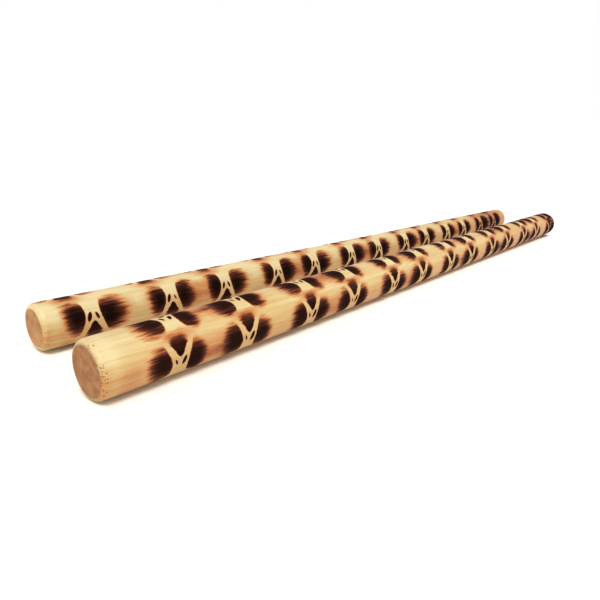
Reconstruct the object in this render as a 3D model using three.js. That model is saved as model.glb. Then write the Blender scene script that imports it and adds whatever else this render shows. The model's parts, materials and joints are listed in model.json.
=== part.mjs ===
// A pair of straight round rattan training sticks, lying side by side on a flat surface.
// Millimetres, +Z up. The sticks run along X and the surface is z = 0.
// The origin is on the surface, under the middle of the pair's bounding box.
import * as THREE from "three";

const STICK_LENGTH = 660;
const LEFT_DIAMETER = 27.5;
const RIGHT_DIAMETER = 29.5;
const EDGE_RADIUS = 3; // the round-over between each flat end and the side
const AXIS_SPACING = 72; // between the two axes, half way along
const STAGGER = 9; // how far the left stick lies ahead of the right one, along +X
const TOE_IN = THREE.MathUtils.degToRad(0.55); // turns the left stick's +X end towards the right one
const FACETS_AROUND = 64;
const EDGE_STEPS = 6;

const PALE_RATTAN = { color: 0xe2c391, roughness: 0.5, metalness: 0 };
const TAN_RATTAN = { color: 0xd9b47c, roughness: 0.5, metalness: 0 };

// Half of a stick's lengthwise outline, as (radius, distance along the stick):
// from the axis out over one flat end, round its edge, along the side, and back to the axis.
function stickOutline(radius) {
  const faceRadius = radius - EDGE_RADIUS;
  const sideEnd = STICK_LENGTH / 2 - EDGE_RADIUS;
  const points = [new THREE.Vector2(0, -STICK_LENGTH / 2)];
  for (const end of [-1, 1]) {
    for (let step = 0; step <= EDGE_STEPS; step++) {
      const share = end < 0 ? step / EDGE_STEPS : 1 - step / EDGE_STEPS;
      const angle = (share * Math.PI) / 2;
      points.push(
        new THREE.Vector2(
          faceRadius + EDGE_RADIUS * Math.sin(angle),
          end * (sideEnd + EDGE_RADIUS * Math.cos(angle)),
        ),
      );
    }
  }
  points.push(new THREE.Vector2(0, STICK_LENGTH / 2));
  return points;
}

// One solid stick, centred on the origin with its axis along X.
// One of its long facets faces straight down, so that the stick rests on a flat.
function stickGeometry(radius) {
  const halfFacet = Math.PI / FACETS_AROUND;
  const geometry = new THREE.LatheGeometry(stickOutline(radius), FACETS_AROUND, halfFacet);
  geometry.rotateZ(-Math.PI / 2);
  return geometry;
}

function stick(name, diameter, finish) {
  const radius = diameter / 2;
  const mesh = new THREE.Mesh(stickGeometry(radius), new THREE.MeshStandardMaterial(finish));
  mesh.name = name;
  mesh.position.z = radius * Math.cos(Math.PI / FACETS_AROUND);
  return mesh;
}

const rightStick = stick("right_stick", RIGHT_DIAMETER, TAN_RATTAN);
rightStick.position.y = -AXIS_SPACING / 2;

const leftStick = stick("left_stick", LEFT_DIAMETER, PALE_RATTAN);
leftStick.position.x = STAGGER;
leftStick.position.y = AXIS_SPACING / 2;
leftStick.rotation.z = -TOE_IN;

const pair = new THREE.Group();
pair.add(leftStick, rightStick);

// The middle of the pair's bounding box goes to x = 0, y = 0.
const middle = new THREE.Box3().setFromObject(pair, true).getCenter(new THREE.Vector3());
pair.position.set(-middle.x, -middle.y, 0);

export default pair;
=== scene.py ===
"""A pair of scorched rattan training sticks, as seen in a studio.

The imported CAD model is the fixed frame. Each CAD stick is replaced by a fine mesh with the small unevenness
of a natural cane, and its scorched ornament is drawn by the material, from formulas.
"""

import json
from math import cos, pi, radians, sin, tau

import bpy
import numpy as np
from mathutils import Matrix, Vector


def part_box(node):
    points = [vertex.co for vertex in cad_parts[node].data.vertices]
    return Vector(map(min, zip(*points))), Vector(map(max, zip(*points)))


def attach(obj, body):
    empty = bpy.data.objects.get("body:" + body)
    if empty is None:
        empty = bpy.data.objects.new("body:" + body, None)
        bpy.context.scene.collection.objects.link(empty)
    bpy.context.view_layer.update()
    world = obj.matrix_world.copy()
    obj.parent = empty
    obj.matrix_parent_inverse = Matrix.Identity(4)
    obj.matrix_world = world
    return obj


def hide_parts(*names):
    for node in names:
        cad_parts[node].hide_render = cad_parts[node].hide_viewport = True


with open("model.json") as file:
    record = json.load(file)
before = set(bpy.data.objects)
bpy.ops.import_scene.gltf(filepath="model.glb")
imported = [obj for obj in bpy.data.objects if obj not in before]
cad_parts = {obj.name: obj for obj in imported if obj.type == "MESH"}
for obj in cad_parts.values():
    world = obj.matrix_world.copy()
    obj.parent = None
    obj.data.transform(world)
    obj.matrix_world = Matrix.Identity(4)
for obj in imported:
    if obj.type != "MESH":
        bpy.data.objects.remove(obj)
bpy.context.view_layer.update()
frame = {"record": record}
MM = 0.001

# The sticks' shape.
EDGE_RADIUS = 3 * MM  # the round-over at each end
SHOULDER = 0.22 * MM  # how much each end is rubbed down before its round-over
SHOULDER_LENGTH = 12 * MM
STEPS_AROUND = 128
SIDE_STEP = 1 * MM  # between two rings of the side
EDGE_STEPS = 12
FACE_STEPS = 16
# The waves of a natural cane's side: the least number of them around it, their length along it in metres, and
# their size in mm.
WAVES = ((2, 0.5, 0.1), (3, 0.3, 0.05), (5, 0.15, 0.025), (9, 0.1, 0.015), (31, 0.2, 0.01))
WAVES_OF_EACH = 4


# ---------------------------------------------------------------- helpers


def srgb(red, green, blue):
    """A colour given as 0 to 255 display values, as the linear numbers that a shader takes."""
    values = [c / 255 for c in (red, green, blue)]
    linear = [c / 12.92 if c <= 0.04045 else ((c + 0.055) / 1.055) ** 2.4 for c in values]
    return (*linear, 1)


class Field:
    """A number that varies over a surface. Arithmetic on it adds Math nodes to its material."""

    def __init__(self, tree, socket):
        self.tree = tree
        self.socket = socket

    def math(self, operation, *others):
        node = self.tree.nodes.new("ShaderNodeMath")
        node.operation = operation
        for socket, value in zip(node.inputs, (self, *others)):
            plug(self.tree, value, socket)
        return Field(self.tree, node.outputs[0])

    def __add__(self, other):
        return self.math("ADD", other)

    def __sub__(self, other):
        return self.math("SUBTRACT", other)

    def __mul__(self, other):
        return self.math("MULTIPLY", other)

    def __truediv__(self, other):
        return self.math("DIVIDE", other)

    __radd__ = __add__
    __rmul__ = __mul__

    def __rsub__(self, other):
        return (self * -1).math("ADD", other)

    def between(self, low, high):
        """0 at low, 1 at high, and an S-shaped step from one to the other. low may be above high."""
        node = self.tree.nodes.new("ShaderNodeMapRange")
        node.interpolation_type = "SMOOTHSTEP"
        for name, value in (("Value", self), ("From Min", low), ("From Max", high)):
            plug(self.tree, value, node.inputs[name])
        return Field(self.tree, node.outputs["Result"])

    def clamp(self, low, high):
        return self.math("MAXIMUM", low).math("MINIMUM", high)

    def bell(self, width):
        """1 where the value is 0, falling off as a bell curve of that half-width."""
        scaled = self / width
        return (scaled * scaled * -1).math("EXPONENT")


def plug(tree, value, socket):
    """Links a Field or a socket to an input, or sets the input to a plain value."""
    if isinstance(value, Field):
        tree.links.new(value.socket, socket)
    elif isinstance(value, bpy.types.NodeSocket):
        tree.links.new(value, socket)
    else:
        socket.default_value = value


def length(x, y):
    return (x * x + y * y).math("SQRT")


def noise(tree, point, scale, seed, detail=2, roughness=0.5):
    """Smooth noise from 0 to 1. scale is the noise cells per metre along, across and up."""
    mapping = tree.nodes.new("ShaderNodeMapping")
    plug(tree, point, mapping.inputs["Vector"])
    mapping.inputs["Scale"].default_value = scale
    node = tree.nodes.new("ShaderNodeTexNoise")
    node.noise_dimensions = "4D"
    tree.links.new(mapping.outputs[0], node.inputs["Vector"])
    node.inputs["W"].default_value = seed
    node.inputs["Scale"].default_value = 1
    node.inputs["Detail"].default_value = detail
    node.inputs["Roughness"].default_value = roughness
    return Field(tree, node.outputs["Fac"])


def dots(tree, point, scale):
    """Distance from the nearest of many scattered dots, in dot spacings.

    scale is the dots per metre along, across and up.
    """
    mapping = tree.nodes.new("ShaderNodeMapping")
    plug(tree, point, mapping.inputs["Vector"])
    mapping.inputs["Scale"].default_value = scale
    node = tree.nodes.new("ShaderNodeTexVoronoi")
    tree.links.new(mapping.outputs[0], node.inputs["Vector"])
    node.inputs["Scale"].default_value = 1
    return Field(tree, node.outputs["Distance"])


def mix(tree, share, first, second):
    """The colour first where share is 0 and second where it is 1."""
    node = tree.nodes.new("ShaderNodeMix")
    node.data_type = "RGBA"
    plug(tree, share, node.inputs["Factor"])
    plug(tree, first, node.inputs["A"])
    plug(tree, second, node.inputs["B"])
    return node.outputs["Result"]


def ramp(tree, value, stops):
    """A colour that follows value through the stops, each a place from 0 to 1 and a colour."""
    node = tree.nodes.new("ShaderNodeValToRGB")
    plug(tree, value, node.inputs["Fac"])
    elements = node.color_ramp.elements
    while len(elements) < len(stops):
        elements.new(1)
    for element, (place, colour) in zip(elements, stops):
        element.position = place
        element.color = colour
    return node.outputs["Color"]


# ---------------------------------------------------------------- the scorched ornament

# A long stencil is laid along the stick and scorched, once for each column of the ornament. It holds pairs of
# rows, and each row has two dark ovals beside a pale web, a dark triangle under the web and two small holes.
# x is the distance along the stick from the nearest row. y is the distance around it from the small holes,
# positive towards the open end of the web and negative towards the triangle.
ROW_GAP = 45.4  # mm, between the two rows of a pair
STENCIL_START = 20  # mm, from the stencil's end to its first row
STENCIL_END = 18  # mm, from its last row to its other end
COLUMN_REACH = 13  # mm, from the holes to the ends of the ovals around the stick
WEB_REACH = 12  # mm, from the holes to where the web's edges are lost
WAIST = 4.6  # mm, half the narrowest width of the web
WAIST_HEIGHT = 3  # mm, how far above the small holes the waist is
WEB_FLARE = 0.56  # how fast the web widens away from its waist
OVAL_MIDDLE = 9.8  # mm, from the row to an oval's middle
INNER_REACH = 9  # mm, from an oval's middle to its edge on the row's side, where the web covers it
SHORT_REACH = 14  # mm, from the row to the half-burnt edge of the shorter oval
OVAL_BULGE = 6.2  # mm, how far an oval's round side bulges towards the row
BULGE_HEIGHT = 10  # mm, half the height of that bulge
APEX_DEPTH = 2.7  # mm, from the holes down to the tip of the triangle
HALF_BASE = 4.6  # mm, half the greatest width of the triangle
TRIANGLE_DEPTH = 11.5  # mm, from the triangle's tip to where it has mostly faded
TRIANGLE_LEAN = 5  # mm, how much further down than its column a triangle may reach
HOLE_OFFSET = 2.3  # mm, from the row to the middle of a small hole
HOLE_SLANT = 0.3  # how far a small hole leans out for each mm down


def nearest_column(around, columns, radius, lean):
    """Distance around the stick from the nearest column's holes, in mm, with that column's number and shift.

    Each column is an angle in degrees and a shift along the stick in mm. lean moves the borders between
    columns.
    """
    best = None  # the nearest column so far: its y, how far off it is, its number and its shift
    for number, (angle, shift) in enumerate(columns):
        y = (around - radians(angle)).math("WRAP", pi, -pi) * radius
        apart = (y + lean).math("ABSOLUTE")
        if best is None:
            best = [y, apart, y * 0 + number, y * 0 + shift]
            continue
        closer = apart.math("LESS_THAN", best[1])
        best = [old + closer * (new - old) for old, new in zip(best, (y, apart, number, shift))]
    return best[0], best[2], best[3]


def row_place(start, pair_step, lean):
    """Distance along from the nearest row, distance into its pair, and the row's number.

    lean is how far the borders between rows are moved back from halfway.
    """
    before = (pair_step - ROW_GAP) / 2 + lean
    in_pair = start.math("WRAP", pair_step - before, -before)
    second = in_pair.math("GREATER_THAN", ROW_GAP / 2 - lean)
    row = ((start + before) / pair_step).math("FLOOR") * 2 + second
    return in_pair - second * ROW_GAP, in_pair, row


def cell_random(tree, row, column, side, seed):
    """Three random numbers from 0 to 1 that stay the same over one dark oval."""
    combine = tree.nodes.new("ShaderNodeCombineXYZ")
    for socket, value in zip(combine.inputs, (row, column, side)):
        plug(tree, value, socket)
    white = tree.nodes.new("ShaderNodeTexWhiteNoise")
    white.noise_dimensions = "4D"
    tree.links.new(combine.outputs[0], white.inputs["Vector"])
    white.inputs["W"].default_value = seed
    separate = tree.nodes.new("ShaderNodeSeparateColor")
    tree.links.new(white.outputs["Color"], separate.inputs[0])
    return [Field(tree, output) for output in separate.outputs]


def grain_noise(tree, point, seed):
    """Noises around 0: flame licks along the grain, finer licks, slow waves and a small wobble."""
    licks = noise(tree, point, (40, 420, 420), seed, detail=2) * 2 - 1
    fine = noise(tree, point, (110, 1500, 1500), seed + 1, detail=3, roughness=0.6) * 2 - 1
    waves = noise(tree, point, (50, 160, 160), seed + 3, detail=1) * 2 - 1
    wobble = noise(tree, point, (500, 500, 500), seed + 5, detail=1) - 0.5
    return licks, fine, waves, wobble


def web_half_width(y):
    """Half the width of the pale web, which flares away from its waist."""
    return length(y - WAIST_HEIGHT, WAIST / WEB_FLARE) * WEB_FLARE


def oval_edge(out, up, side, size, look):
    """How far out of a dark oval a place is: 0 in its middle and 1 where it is half burnt.

    Its end beside the triangle has its own shape, tip_end.
    """
    reach = look["reach"] - OVAL_MIDDLE - side * (look["reach"] - SHORT_REACH) + (size - 0.5) * 2
    across = ((out - OVAL_MIDDLE) / reach).math("MAXIMUM", (OVAL_MIDDLE - out) / INNER_REACH)
    tip_end = (up * -1.35) / look["oval_tip"] - 0.35 + side * 0.24
    height = (up / look["oval_top"]).math("MAXIMUM", tip_end).math("MAXIMUM", 0)
    return length(across.math("MAXIMUM", 0), height)


def oval_opening(out, off_holes, wobble):
    """1 in the stencil's opening for an oval, and 0 past its round side towards the row and past its ends."""
    rounded = (1 - (off_holes / BULGE_HEIGHT).math("POWER", 3)).math("MAXIMUM", 0).math("SQRT")
    softness = 0.7 + off_holes.between(7, 12) * 2
    past_side = (OVAL_MIDDLE - rounded * OVAL_BULGE - out + wobble) / softness
    return past_side.between(1, -1) * off_holes.between(COLUMN_REACH, COLUMN_REACH - 3)


def small_hole(out, y, side, size):
    """How burnt one of the two small holes is. They are long around the stick, and the second is larger."""
    half_width = 0.55 + side * 0.32 + size * 0.3
    off_middle = out - HOLE_OFFSET + y * HOLE_SLANT
    edge = length(off_middle / half_width, y / (half_width * 1.9 + 0.3))
    return edge.between(1.35, 0.75) * (0.5 + half_width * 0.5)


def dark_triangle(x, depth, licks, fine, waves, wobble):
    """How burnt the triangle between the web's two legs is. Its base fades towards the next column."""
    half_width = (depth * 0.6 + 0.85).math("MINIMUM", HALF_BASE) * depth.between(-0.7, 1.1)
    blur = 0.4 + depth.between(4, 12) * 3
    sides = (x.math("ABSOLUTE") - half_width + wobble * 0.9 + (licks + fine) * blur * 0.9) / blur
    to_base = ((depth + licks * 3.2 + fine * 4.0 + waves) / TRIANGLE_DEPTH).math("MAXIMUM", 0)
    faded = (1 - to_base * to_base * 0.78).clamp(0, 1)
    return sides.between(1, -1) * depth.between(-0.5, 0.3) * faded


def scorch(tree, point, along, around, radius, look):
    """How burnt the wood is, from 0 for bare wood to 1 for char, and how well the stencil covered it.

    Lengths are in mm and angles in radians.
    """
    licks, fine, waves, wobble = grain_noise(tree, point, look["seed"])

    # The place in the ornament. A triangle may reach down past its own column's border, so the place that it
    # is drawn by is worked out on its own.
    lean = (look["reach"] - SHORT_REACH) / 2
    y, column, shift = nearest_column(around, look["columns"], radius, 0)
    start = along - look["first_row"] - shift
    x, in_pair, row = row_place(start, look["pair_step"], lean)
    out = x.math("ABSOLUTE")
    off_holes = y.math("ABSOLUTE")
    side = x.math("GREATER_THAN", 0)
    low_y, _, low_shift = nearest_column(around, look["columns"], radius, TRIANGLE_LEAN)
    low_start = along - look["first_row"] - low_shift
    low_x = row_place(low_start, look["pair_step"], lean)[0]
    depth = -1 * low_y - APEX_DEPTH

    # Where the stencil lay. The ovals also end where the cut end was sanded.
    stencil_end = look["last_row"] + STENCIL_END
    on_stencil = start.between(-STENCIL_START - 6, -STENCIL_START)
    on_stencil = on_stencil * start.between(stencil_end + 4 - lean, stencil_end - lean)
    on_stencil = on_stencil * along.between(*look["sanded"])
    low_on_stencil = low_start.between(-STENCIL_START, -STENCIL_START + 8)
    low_on_stencil = low_on_stencil * low_start.between(stencil_end - 5, stencil_end - 10)
    outside_web = (out - web_half_width(y) + wobble * 0.7).between(-0.45, 0.35)
    covered = (1 - outside_web) * off_holes.between(WEB_REACH, WEB_REACH - 4) * on_stencil

    # The marks. Flames lick along the grain, past the ovals' outer edges.
    size, strength, raise_by = cell_random(tree, row, column, side, look["seed"])
    up = y + (raise_by - 0.5) * 1.2 + waves * 0.6 + fine * 0.8
    edge = oval_edge(out, up, side, size, look) - (strength - 0.5) * 0.15
    flames = licks * 0.64 + fine * 0.88 + waves * 0.15
    oval = (0.5 + (1 - edge - flames) * 0.72).clamp(0, look["char"])
    oval = oval * outside_web * oval_opening(out, off_holes, wobble)
    burnt = oval.math("MAXIMUM", small_hole(out, y, side, size)) * on_stencil
    triangle = dark_triangle(low_x, depth, licks, fine, waves, wobble) * low_on_stencil
    burnt = burnt + triangle * (1 - burnt)

    # The brown haze around the ovals, at the triangles' bases and between the two rows of a pair.
    streaky = licks * 0.9 + fine * 0.9 + strength * 0.4
    exposed = outside_web.math("MAXIMUM", off_holes.between(WEB_REACH - 4, WEB_REACH))
    halo = ((edge + flames - 1).math("MAXIMUM", 0) * -1.3).math("EXPONENT") * (up - 2).bell(11)
    halo = halo * (0.23 + streaky * 0.24) * off_holes.between(COLUMN_REACH + 0.5, COLUMN_REACH - 5)
    base_haze = (depth - (TRIANGLE_DEPTH - 1)).bell(4) * low_x.bell(10) * (0.14 + streaky * 0.2)
    pair_haze = (in_pair - ROW_GAP / 2).bell(12) * (y - look["haze_at"]).bell(7)
    pair_haze = pair_haze * (0.28 + licks * 0.36 + fine * 0.3) * start.between(stencil_end, stencil_end - 12)
    haze = (halo * exposed).math("MAXIMUM", 0) * on_stencil
    haze = haze + (base_haze * exposed).math("MAXIMUM", 0) * low_on_stencil
    haze = haze + pair_haze.math("MAXIMUM", 0)
    haze = haze * (1 + along.between(*look["warm_end"]) * look["smoky"])

    # A browned stretch of the cane, and a faint toast on the web's legs.
    brown_middle, brown_half = look["brown_band"]
    haze = haze + (along - brown_middle).bell(brown_half) * (look["brown"] + streaky * 0.35)
    haze = haze + covered * y.between(5, -1) * 0.05
    return burnt + haze.clamp(0, 1) * (1 - burnt), covered


# ---------------------------------------------------------------- materials

# The tones are colours at places from 0 to 1: bare wood from straw to honey, burnt wood from bare to char,
# and end grain from its darkest patches to its palest.
WOOD_TONES = [
    (0.1, srgb(209, 190, 142)),
    (0.4, srgb(197, 169, 111)),
    (0.72, srgb(190, 138, 84)),
    (1.0, srgb(165, 108, 62)),
]
BURNT_TONES = [
    (0.0, srgb(195, 164, 112)),
    (0.16, srgb(190, 136, 82)),
    (0.34, srgb(166, 98, 55)),
    (0.5, srgb(108, 52, 28)),
    (0.66, srgb(62, 28, 15)),
    (0.85, srgb(42, 17, 9)),
    (1.0, srgb(20, 8, 4)),
]
END_GRAIN_TONES = [(0.3, srgb(146, 102, 68)), (0.65, srgb(188, 141, 97))]
FIBRE_COLOUR = srgb(156, 108, 64)
VESSEL_COLOUR = srgb(120, 78, 48)
PORE_COLOUR = srgb(96, 56, 28)


def new_material(name):
    material = bpy.data.materials.new(name)
    material.use_nodes = True
    return material, material.node_tree, material.node_tree.nodes["Principled BSDF"]


def attribute(tree, name):
    node = tree.nodes.new("ShaderNodeAttribute")
    node.attribute_name = name
    return node


def end_grain(tree, point, look):
    """The colour of a sawn face: brown, with darker patches and the dots of the cane's vessels."""
    blotches = noise(tree, point, (10, 150, 150), look["seed"] + 23, detail=4, roughness=0.6)
    face = ramp(tree, blotches + look["face"], END_GRAIN_TONES)
    vessel = dots(tree, point, (12, 1400, 1400)).between(0.36, 0.2)
    return mix(tree, vessel * 0.35, face, VESSEL_COLOUR)


def rim_pores(tree, point, painted_shade_side, end_share, look):
    """Where the cane's vessels open as small dark pores, in crowds on the round-overs."""
    # The pores crowd more on the side where the shade is painted.
    crowd = noise(tree, point, (260, 260, 260), look["seed"] + 29, detail=2) + painted_shade_side * 0.3
    crowded = (crowd + look["pores"]).between(0.48, 0.58)
    on_rim = end_share.between(0.0, 0.1) * end_share.between(1.0, 0.85)
    return dots(tree, point, (850, 1100, 1100)).between(0.42, 0.26) * crowded * on_rim


def rattan(name, radius, stick_length, look):
    """Peeled rattan with its scorched ornament on the side, and end grain on the sawn faces."""
    material, tree, shader = new_material(name)
    point = attribute(tree, "cane_point").outputs["Vector"]
    separate = tree.nodes.new("ShaderNodeSeparateXYZ")
    tree.links.new(point, separate.inputs[0])
    x, y, z = (Field(tree, output) for output in separate.outputs)
    along = x / MM
    around = (y * -1).math("ARCTAN2", z)
    end_share = Field(tree, attribute(tree, "end_share").outputs["Fac"])

    # Bare wood: straw with honey streaks, crossed by fine dark fibres. It is palest where the stencil covered
    # it, and in a band a few mm from each end that is partly rubbed wood and partly a painted highlight.
    seed = look["seed"]
    patches = noise(tree, point, (14, 90, 90), seed + 11, detail=2)
    streaks = noise(tree, point, (18, 420, 420), seed + 13, detail=3, roughness=0.6)
    fibres = noise(tree, point, (60, 2200, 2200), seed + 17, detail=2, roughness=0.6)
    # Painted shade and warm bounce light: the side turned down to the floor is drawn darker and more orange.
    painted_shade_side = (around - look["painted_shade_side"]).math("COSINE").between(0.4, 1.1)
    to_end = along.math("MINIMUM", stick_length / MM - along)
    # Painted highlight, partly rubbed wood: a paler band a few mm from each end, all round the stick.
    rubbed = (to_end - 6).bell(4)
    burn, covered = scorch(tree, point, along, around, radius / MM, look)
    tone = patches * 0.32 + streaks * 0.95 - look["pale"] - rubbed * 0.18 - covered * 0.12
    # The painted shade and warm bounce on the lower side, stronger near the ends.
    tone = tone + painted_shade_side * look["painted_shade_amount"] * (0.8 + to_end.between(45, 12) * 0.45)
    tone = tone + along.between(*look["warm_end"]) * 0.28
    wood = ramp(tree, tone, WOOD_TONES)
    wood = mix(tree, fibres.between(0.55, 0.72) * 0.5, wood, FIBRE_COLOUR)
    side = mix(tree, burn.between(0.0, 0.12), wood, ramp(tree, burn, BURNT_TONES))

    # The faces, and the pores around them.
    pore = rim_pores(tree, point, painted_shade_side, end_share, look)
    colour = mix(tree, end_share.between(look["face_edge"], 1.0), side, end_grain(tree, point, look))
    colour = mix(tree, pore * 0.85, colour, PORE_COLOUR)

    tree.links.new(colour, shader.inputs["Base Color"])
    shader.inputs["Specular IOR Level"].default_value = 0.03
    gloss = 0.42 + fibres * 0.12 + burn * 0.35 + end_share * 0.2
    plug(tree, gloss, shader.inputs["Roughness"])
    # The varnish is on the side only, and the char dulls it.
    polish = (1 - burn * 1.2).clamp(0, 1) * (1 - end_share.between(0.7, 1.0)) * 0.55
    plug(tree, polish, shader.inputs["Coat Weight"])
    shader.inputs["Coat Roughness"].default_value = 0.42
    bump = tree.nodes.new("ShaderNodeBump")
    relief = streaks * 0.5 + fibres * 0.35 - burn * 0.4 - pore * 0.8
    plug(tree, relief, bump.inputs["Height"])
    bump.inputs["Distance"].default_value = 0.08 * MM
    bump.inputs["Strength"].default_value = 1
    tree.links.new(bump.outputs[0], shader.inputs["Normal"])
    return material


# ---------------------------------------------------------------- the sticks


def stick_profile(radius, stick_length):
    """The lengthwise outline from one face's middle to the other's: distance along, radius and end share.

    End share is 0 on the side, and goes up to 1 where the round-over meets the flat face.
    """
    face_radius = radius - EDGE_RADIUS
    face = [(0, face_radius * i / FACE_STEPS, 1) for i in range(1, FACE_STEPS)]
    edge = []
    for i in range(EDGE_STEPS + 1):
        turn = pi / 2 * i / EDGE_STEPS
        from_face = EDGE_RADIUS * (1 - cos(turn))
        edge.append((from_face, face_radius + EDGE_RADIUS * sin(turn), 1 - i / EDGE_STEPS))
    near_end = face + edge
    side_length = stick_length - 2 * EDGE_RADIUS
    side_steps = round(side_length / SIDE_STEP)
    side = [(EDGE_RADIUS + side_length * i / side_steps, radius, 0) for i in range(1, side_steps)]
    far_end = [(stick_length - x, r, share) for x, r, share in reversed(near_end)]
    return np.array(near_end + side + far_end)


def unevenness(along, turn, seed):
    """How far each point of the side stands out or in, as a sum of long waves that run around and along."""
    random = np.random.default_rng(seed)
    height = np.zeros_like(along)
    for lobes, wavelength, size in WAVES:
        for _ in range(WAVES_OF_EACH):
            around_count = lobes + random.integers(0, lobes)
            pace = tau / (wavelength * random.uniform(0.7, 1.5))
            height += size * MM / 2 * np.cos(around_count * turn + pace * along + random.uniform(0, tau))
    return height


def closed_tube_faces(rings):
    """The faces of a tube of rings of points, closed at each end by a fan around one more point."""
    faces = []
    for ring in range(rings - 1):
        low = ring * STEPS_AROUND
        for i in range(STEPS_AROUND):
            j = (i + 1) % STEPS_AROUND
            faces.append((low + i, low + j, low + STEPS_AROUND + j, low + STEPS_AROUND + i))
    near_pole = rings * STEPS_AROUND
    last = near_pole - STEPS_AROUND
    for i in range(STEPS_AROUND):
        j = (i + 1) % STEPS_AROUND
        faces.append((near_pole, j, i))
        faces.append((near_pole + 1, last + i, last + j))
    return faces


def stick_mesh(name, profile, roll, turned, bow, seed):
    """A closed round mesh along +X, with its own cane coordinates stored on its points.

    roll turns the ornament about the stick, and turned lays the stick end for end. bow is how far the ends
    are bent up.
    """
    rings = len(profile)
    angles = np.arange(STEPS_AROUND) * tau / STEPS_AROUND
    along = np.repeat(profile[:, 0], STEPS_AROUND)
    out = np.repeat(profile[:, 1], STEPS_AROUND)
    turn = np.tile(angles, rings)
    stick_length = profile[-1, 0]
    points = np.stack([along, out * np.sin(turn), out * np.cos(turn)], axis=1)
    points = np.vstack([points, [0, 0, 0], [stick_length, 0, 0]])
    share = np.append(np.repeat(profile[:, 2], STEPS_AROUND), [1, 1])

    to_end = np.minimum(along, stick_length - along)
    rubbed = np.clip(1 - to_end / SHOULDER_LENGTH, 0, 1) ** 2 * SHOULDER
    swell = 1 + (unevenness(along, turn, seed) - rubbed) / out.max()
    shaped = points.copy()
    shaped[:-2, 1] *= swell
    shaped[:-2, 2] *= swell
    shaped[:, 2] += bow * (2 * shaped[:, 0] / stick_length - 1) ** 2

    mesh = bpy.data.meshes.new(name)
    mesh.from_pydata(shaped.tolist(), [], closed_tube_faces(rings))
    mesh.shade_smooth()

    cane = points.copy()
    if turned:
        cane[:, 0] = stick_length - cane[:, 0]
        cane[:, 1] = -cane[:, 1]
    y, z = cane[:, 1].copy(), cane[:, 2].copy()
    cane[:, 1] = y * cos(roll) + z * sin(roll)
    cane[:, 2] = z * cos(roll) - y * sin(roll)
    mesh.attributes.new("cane_point", "FLOAT_VECTOR", "POINT").data.foreach_set("vector", cane.ravel())
    mesh.attributes.new("end_share", "FLOAT", "POINT").data.foreach_set("value", share)
    return mesh


def stick(name, roll, turned, bow, look):
    """Makes one stick where its CAD solid is, in place of it."""
    ends = {m["name"]: Vector(m["pos_m"]) for m in frame["record"]["mounts"]}
    near, far = ends[name + "_near_end"], ends[name + "_far_end"]
    direction = far - near
    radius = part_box(name)[1].z / 2
    profile = stick_profile(radius, direction.length)
    mesh = stick_mesh(name, profile, roll, turned, bow, round(look["seed"]))
    mesh.transform(Matrix.Translation(near) @ direction.to_track_quat("X", "Z").to_matrix().to_4x4())
    mesh.materials.append(rattan(name + "_rattan", radius, direction.length, look))
    piece = bpy.data.objects.new(name + "_cane", mesh)
    bpy.context.scene.collection.objects.link(piece)
    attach(piece, name)
    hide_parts(name)


# ---------------------------------------------------------------- the studio

CAMERA_OFFSET = Vector((-0.0938, -0.2039, 0.111))  # from the floor below the right stick's near end
CAMERA_HEADING = radians(40.6)  # from +X towards +Y
CAMERA_PITCH = radians(16.75)
CAMERA_ROLL = radians(0.93)
FOCAL_LENGTH = 30.4  # mm
SENSOR_WIDTH = 36  # mm
FLOOR_SIZE = 12  # m
FLOOR_COLOUR = (0.95, 0.9, 0.83, 1)
KEY_DIRECTION = (-0.3, -0.38, 0.87)  # towards the light
KEY_WIDTH = radians(24)
KEY_STRENGTH = 2.66
WHITE = (1, 1, 1, 1)
SKY_GREY = (0.42, 0.42, 0.42, 1)


def add_camera():
    data = bpy.data.cameras.new("camera")
    data.sensor_width = SENSOR_WIDTH
    data.lens = FOCAL_LENGTH
    data.clip_start = 0.01
    camera = bpy.data.objects.new("camera", data)
    low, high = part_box("right_stick")
    near_end = Vector((low.x, (low.y + high.y) / 2, 0))
    aim = (
        Matrix.Rotation(CAMERA_HEADING - pi / 2, 4, "Z")
        @ Matrix.Rotation(pi / 2 - CAMERA_PITCH, 4, "X")
        @ Matrix.Rotation(CAMERA_ROLL, 4, "Z")
    )
    camera.matrix_world = Matrix.Translation(near_end + CAMERA_OFFSET) @ aim
    bpy.context.scene.collection.objects.link(camera)
    bpy.context.scene.camera = camera


def add_floor():
    half = FLOOR_SIZE / 2
    mesh = bpy.data.meshes.new("floor")
    corners = [(-half, -half, 0), (half, -half, 0), (half, half, 0), (-half, half, 0)]
    mesh.from_pydata(corners, [], [(0, 1, 2, 3)])
    material, _, shader = new_material("pale_floor")
    shader.inputs["Base Color"].default_value = FLOOR_COLOUR
    shader.inputs["Roughness"].default_value = 0.9
    shader.inputs["Specular IOR Level"].default_value = 0
    mesh.materials.append(material)
    floor = bpy.data.objects.new("floor", mesh)
    bpy.context.scene.collection.objects.link(floor)


def add_key_light():
    """A wide soft light from far away, so that it lights the whole floor evenly."""
    data = bpy.data.lights.new("key", "SUN")
    data.angle = KEY_WIDTH
    data.energy = KEY_STRENGTH
    light = bpy.data.objects.new("key", data)
    light.rotation_euler = Vector(KEY_DIRECTION).to_track_quat("Z", "Y").to_euler()
    bpy.context.scene.collection.objects.link(light)


def add_sky():
    """Soft light from all round: white behind the floor's edge and overhead, and grey between."""
    world = bpy.data.worlds.new("studio")
    world.use_nodes = True
    tree = world.node_tree
    direction = tree.nodes.new("ShaderNodeTexCoord").outputs["Generated"]
    separate = tree.nodes.new("ShaderNodeSeparateXYZ")
    tree.links.new(direction, separate.inputs[0])
    height = Field(tree, separate.outputs["Z"])
    sky = ramp(tree, height, [(0.36, WHITE), (0.5, SKY_GREY), (0.8, SKY_GREY), (0.95, WHITE)])
    tree.links.new(sky, tree.nodes["Background"].inputs["Color"])
    bpy.context.scene.world = world


add_camera()
add_floor()
add_key_light()
add_sky()
bpy.context.scene.view_settings.view_transform = "Standard"
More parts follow.
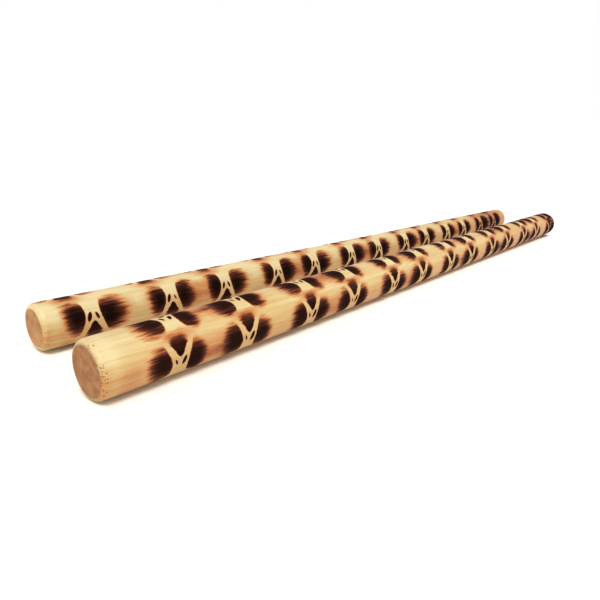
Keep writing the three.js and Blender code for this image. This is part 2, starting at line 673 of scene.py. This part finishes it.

# Each stick's look. Places along it are in mm from the cane's own first end, which is the stick's far end
# where the cane is turned. A pair of places is where something is nothing yet, and where it is full.
#   seed: which random marks and unevenness it has
#   columns: each column of the ornament, as an angle in degrees and a shift along the stick in mm
#   first_row, pair_step: where the first row is, and the step from one pair of rows to the next
#   last_row: how far the last row is from the first, in mm
#   reach: from a row to the half-burnt edge of its longer oval, in mm
#   oval_top, oval_tip: how far an oval reaches from the holes, above them and beside the triangle, in mm
#   char: how burnt an oval is at most, from 0 to 1
#   haze_at: how far above the holes the haze between the two rows of a pair is, in mm
#   brown_band, brown: the middle and half-width of a browned stretch, and how brown it is
#   pale: how pale the bare wood is
#   painted_shade_side, painted_shade_amount: the angle around the stick where shade and warm bounce light are
#       painted, darker and more orange, and how strongly
#   warm_end, smoky: the pair of places between which the wood gets warmer, and how much more haze it gets
#   sanded: the pair of places between which the sanded end gives way to the scorched side
#   face, face_edge: how pale the end grain is, and the end share from which it shows
#   pores: how many pores the rims have
stick(
    "left_stick",
    roll=radians(-75),
    turned=True,
    bow=0.6 * MM,
    look={
        "seed": 2.0,
        "columns": [(0, 0), (116, 11), (-122, -6)],
        "first_row": 43,
        "pair_step": 98.2,
        "last_row": 589,
        "reach": 16.4,
        "oval_top": 8.1,
        "oval_tip": 9.4,
        "char": 1.0,
        "haze_at": -2,
        "brown_band": (54, 48),
        "brown": 0.24,
        "pale": 0.5,
        "painted_shade_side": radians(-42),
        "painted_shade_amount": 0.5,
        "warm_end": (420, 60),
        "smoky": 0.2,
        "sanded": (659.5, 656),
        "face": 0.06,
        "face_edge": 0.85,
        "pores": -0.28,
    },
)
stick(
    "right_stick",
    roll=radians(103),
    turned=False,
    bow=0.35 * MM,
    look={
        "seed": 7.0,
        "columns": [(0, 0), (-100, 1.8), (130, -6)],
        "first_row": 40,
        "pair_step": 99.3,
        "last_row": 700,
        "reach": 16.2,
        "oval_top": 9.9,
        "oval_tip": 7.8,
        "char": 0.9,
        "haze_at": 0.5,
        "brown_band": (652, 30),
        "brown": 0.4,
        "pale": 0.33,
        "painted_shade_side": radians(15),
        "painted_shade_amount": 0.42,
        "warm_end": (280, 620),
        "smoky": 0.7,
        "sanded": (0.5, 4),
        "face": -0.12,
        "face_edge": 0.5,
        "pores": 0.0,
    },
)
